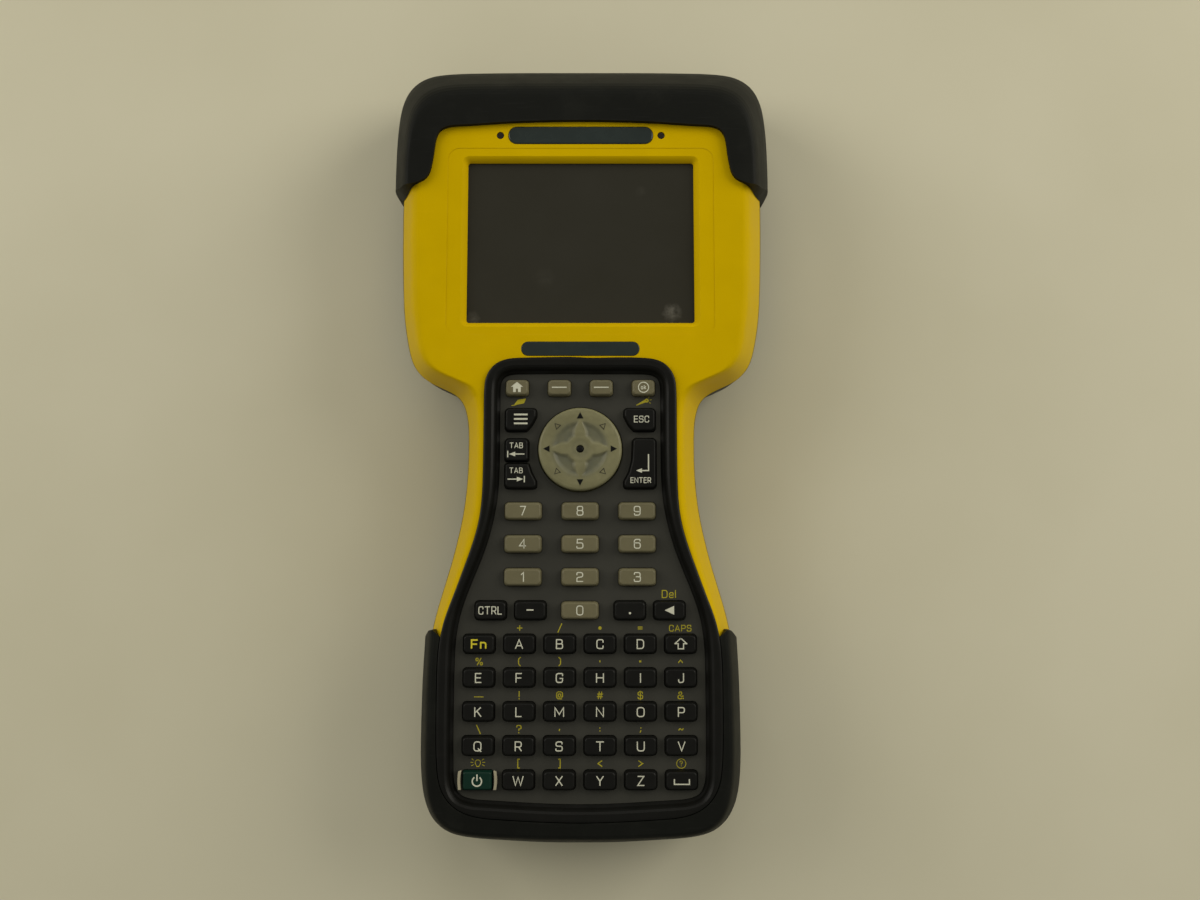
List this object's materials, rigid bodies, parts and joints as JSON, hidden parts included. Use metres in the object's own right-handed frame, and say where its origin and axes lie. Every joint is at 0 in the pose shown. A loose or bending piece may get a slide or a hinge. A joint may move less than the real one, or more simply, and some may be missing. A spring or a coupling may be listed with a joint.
{
  "type": "handheld data collector",
  "caption": "Rugged handheld data collector with touch display, navigation pad, numeric and letter keys, rubber end cap and boot, stylus, battery door and hand strap.",
  "frame": {"origin": "centre of the footprint on the plane the instrument lies on, face up", "axes": "+X to the user's right, +Y towards the display end, +Z out of the display"},
  "size_m": [0.131, 0.2652, 0.048],
  "materials": {
    "yellow_shell": "satin moulded yellow, fine texture",
    "rear_shell": "black moulded, fine texture",
    "seal_rubber": "matte",
    "screws": "blackened steel",
    "black_rubber": "matte overmould rubber",
    "black_frame": "satin black",
    "keymat_rubber": "silicone, charcoal",
    "screen_film": "resistive touch film, satin",
    "lcd_frame": "dark",
    "circuit_board": "green solder mask",
    "battery_case": "black",
    "speaker_can": "pressed can",
    "socket_metal": "nickel plated",
    "plate_gloss": "slate, glossy",
    "lens_dark": "smoked lens",
    "steel_bar": "steel",
    "strap_webbing": "woven webbing with soft pad",
    "stylus_black": "satin black",
    "key_taupe": "moulded key, satin",
    "key_black": "moulded key, satin",
    "key_green": "moulded key, satin dark green"
  },
  "bodies": {
    "housing": {"front_housing": "yellow_shell", "rear_housing": "rear_shell", "housing_seal": "seal_rubber", "housing_screws": "screws", "bottom_boot": "black_rubber", "keypad_frame": "black_frame", "keymat": "keymat_rubber", "touch_panel": "screen_film", "lcd_module": "lcd_frame", "main_board": "circuit_board", "keypad_board": "circuit_board", "battery_pack": "battery_case", "speaker": "speaker_can", "card_sockets": "socket_metal", "end_connectors": "socket_metal", "name_plates": "plate_gloss", "indicator_lenses": "lens_dark", "strap_bars": "steel_bar", "hand_strap": "strap_webbing"},
    "cap": {"top_cap": "black_rubber", "cap_screws": "screws"},
    "door": {"battery_door": "rear_shell"},
    "door_screw_left": {"battery_door_screw_left": "screws"},
    "door_screw_right": {"battery_door_screw_right": "screws"},
    "stylus": {"stylus": "stylus_black"},
    "port_cover": {"port_cover": "black_rubber"},
    "nav_pivot": {"nav_pad_pivot": "key_black"},
    "nav_pad": {"nav_pad": "key_taupe"},
    "key_home": {"key_home": "key_taupe"},
    "key_softkey_left": {"key_softkey_left": "key_taupe"},
    "key_softkey_right": {"key_softkey_right": "key_taupe"},
    "key_ok": {"key_ok": "key_taupe"},
    "key_menu": {"key_menu": "key_black"},
    "key_esc": {"key_esc": "key_black"},
    "key_tab_back": {"key_tab_back": "key_black"},
    "key_tab_forward": {"key_tab_forward": "key_black"},
    "key_enter": {"key_enter": "key_black"},
    "key_0": {"key_0": "key_taupe"},
    "key_1": {"key_1": "key_taupe"},
    "key_2": {"key_2": "key_taupe"},
    "key_3": {"key_3": "key_taupe"},
    "key_4": {"key_4": "key_taupe"},
    "key_5": {"key_5": "key_taupe"},
    "key_6": {"key_6": "key_taupe"},
    "key_7": {"key_7": "key_taupe"},
    "key_8": {"key_8": "key_taupe"},
    "key_9": {"key_9": "key_taupe"},
    "key_ctrl": {"key_ctrl": "key_black"},
    "key_minus": {"key_minus": "key_black"},
    "key_point": {"key_point": "key_black"},
    "key_backspace": {"key_backspace": "key_black"},
    "key_fn": {"key_fn": "key_black"},
    "key_shift": {"key_shift": "key_black"},
    "key_power": {"key_power": "key_green"},
    "key_space": {"key_space": "key_black"},
    "letter_keys_a_to_d": {"letter_keys_a_to_d": "key_black"},
    "letter_keys_e_to_j": {"letter_keys_e_to_j": "key_black"},
    "letter_keys_k_to_p": {"letter_keys_k_to_p": "key_black"},
    "letter_keys_q_to_v": {"letter_keys_q_to_v": "key_black"},
    "letter_keys_w_to_z": {"letter_keys_w_to_z": "key_black"}
  },
  "joints": [
    {"name": "cap_slide", "type": "slide", "parent": "housing", "child": "cap", "axis": [0, 1, 0], "range_m": [0, 0.06]},
    {"name": "door_lift", "type": "slide", "parent": "housing", "child": "door", "axis": [0, 0, -1], "range_m": [0, 0.02]},
    {"name": "door_screw_left_turn", "type": "hinge", "parent": "door", "child": "door_screw_left", "pos_m": [-0.0404, 0.0614, 0.001], "axis": [0, 0, 1], "continuous": true},
    {"name": "door_screw_right_turn", "type": "hinge", "parent": "door", "child": "door_screw_right", "pos_m": [0.0404, 0.0614, 0.001], "axis": [0, 0, 1], "continuous": true},
    {"name": "stylus_slide", "type": "slide", "parent": "housing", "child": "stylus", "axis": [0, -1, 0], "range_m": [0, 0.096]},
    {"name": "port_cover_hinge", "type": "hinge", "parent": "housing", "child": "port_cover", "pos_m": [0.0304, -0.13105, 0.0126], "axis": [0, 0, 1], "range_deg": [0, 110]},
    {"name": "nav_tilt_up_down", "type": "hinge", "parent": "housing", "child": "nav_pivot", "pos_m": [0, -0.0052, 0.042], "axis": [1, 0, 0], "range_deg": [-2.5, 2.5]},
    {"name": "nav_tilt_left_right", "type": "hinge", "parent": "nav_pivot", "child": "nav_pad", "pos_m": [0, -0.0052, 0.042], "axis": [0, 1, 0], "range_deg": [-2.5, 2.5]},
    {"name": "key_home_press", "type": "slide", "parent": "housing", "child": "key_home", "axis": [0, 0, -1], "range_m": [0, 0.001]},
    {"name": "key_softkey_left_press", "type": "slide", "parent": "housing", "child": "key_softkey_left", "axis": [0, 0, -1], "range_m": [0, 0.001]},
    {"name": "key_softkey_right_press", "type": "slide", "parent": "housing", "child": "key_softkey_right", "axis": [0, 0, -1], "range_m": [0, 0.001]},
    {"name": "key_ok_press", "type": "slide", "parent": "housing", "child": "key_ok", "axis": [0, 0, -1], "range_m": [0, 0.001]},
    {"name": "key_menu_press", "type": "slide", "parent": "housing", "child": "key_menu", "axis": [0, 0, -1], "range_m": [0, 0.001]},
    {"name": "key_esc_press", "type": "slide", "parent": "housing", "child": "key_esc", "axis": [0, 0, -1], "range_m": [0, 0.001]},
    {"name": "key_tab_back_press", "type": "slide", "parent": "housing", "child": "key_tab_back", "axis": [0, 0, -1], "range_m": [0, 0.001]},
    {"name": "key_tab_forward_press", "type": "slide", "parent": "housing", "child": "key_tab_forward", "axis": [0, 0, -1], "range_m": [0, 0.001]},
    {"name": "key_enter_press", "type": "slide", "parent": "housing", "child": "key_enter", "axis": [0, 0, -1], "range_m": [0, 0.001]},
    {"name": "key_0_press", "type": "slide", "parent": "housing", "child": "key_0", "axis": [0, 0, -1], "range_m": [0, 0.001]},
    {"name": "key_1_press", "type": "slide", "parent": "housing", "child": "key_1", "axis": [0, 0, -1], "range_m": [0, 0.001]},
    {"name": "key_2_press", "type": "slide", "parent": "housing", "child": "key_2", "axis": [0, 0, -1], "range_m": [0, 0.001]},
    {"name": "key_3_press", "type": "slide", "parent": "housing", "child": "key_3", "axis": [0, 0, -1], "range_m": [0, 0.001]},
    {"name": "key_4_press", "type": "slide", "parent": "housing", "child": "key_4", "axis": [0, 0, -1], "range_m": [0, 0.001]},
    {"name": "key_5_press", "type": "slide", "parent": "housing", "child": "key_5", "axis": [0, 0, -1], "range_m": [0, 0.001]},
    {"name": "key_6_press", "type": "slide", "parent": "housing", "child": "key_6", "axis": [0, 0, -1], "range_m": [0, 0.001]},
    {"name": "key_7_press", "type": "slide", "parent": "housing", "child": "key_7", "axis": [0, 0, -1], "range_m": [0, 0.001]},
    {"name": "key_8_press", "type": "slide", "parent": "housing", "child": "key_8", "axis": [0, 0, -1], "range_m": [0, 0.001]},
    {"name": "key_9_press", "type": "slide", "parent": "housing", "child": "key_9", "axis": [0, 0, -1], "range_m": [0, 0.001]},
    {"name": "key_ctrl_press", "type": "slide", "parent": "housing", "child": "key_ctrl", "axis": [0, 0, -1], "range_m": [0, 0.001]},
    {"name": "key_minus_press", "type": "slide", "parent": "housing", "child": "key_minus", "axis": [0, 0, -1], "range_m": [0, 0.001]},
    {"name": "key_point_press", "type": "slide", "parent": "housing", "child": "key_point", "axis": [0, 0, -1], "range_m": [0, 0.001]},
    {"name": "key_backspace_press", "type": "slide", "parent": "housing", "child": "key_backspace", "axis": [0, 0, -1], "range_m": [0, 0.001]},
    {"name": "key_fn_press", "type": "slide", "parent": "housing", "child": "key_fn", "axis": [0, 0, -1], "range_m": [0, 0.001]},
    {"name": "key_shift_press", "type": "slide", "parent": "housing", "child": "key_shift", "axis": [0, 0, -1], "range_m": [0, 0.001]},
    {"name": "key_power_press", "type": "slide", "parent": "housing", "child": "key_power", "axis": [0, 0, -1], "range_m": [0, 0.001]},
    {"name": "key_space_press", "type": "slide", "parent": "housing", "child": "key_space", "axis": [0, 0, -1], "range_m": [0, 0.001]},
    {"name": "letter_keys_a_to_d_press", "type": "slide", "parent": "housing", "child": "letter_keys_a_to_d", "axis": [0, 0, -1], "range_m": [0, 0.001]},
    {"name": "letter_keys_e_to_j_press", "type": "slide", "parent": "housing", "child": "letter_keys_e_to_j", "axis": [0, 0, -1], "range_m": [0, 0.001]},
    {"name": "letter_keys_k_to_p_press", "type": "slide", "parent": "housing", "child": "letter_keys_k_to_p", "axis": [0, 0, -1], "range_m": [0, 0.001]},
    {"name": "letter_keys_q_to_v_press", "type": "slide", "parent": "housing", "child": "letter_keys_q_to_v", "axis": [0, 0, -1], "range_m": [0, 0.001]},
    {"name": "letter_keys_w_to_z_press", "type": "slide", "parent": "housing", "child": "letter_keys_w_to_z", "axis": [0, 0, -1], "range_m": [0, 0.001]}
  ]
}
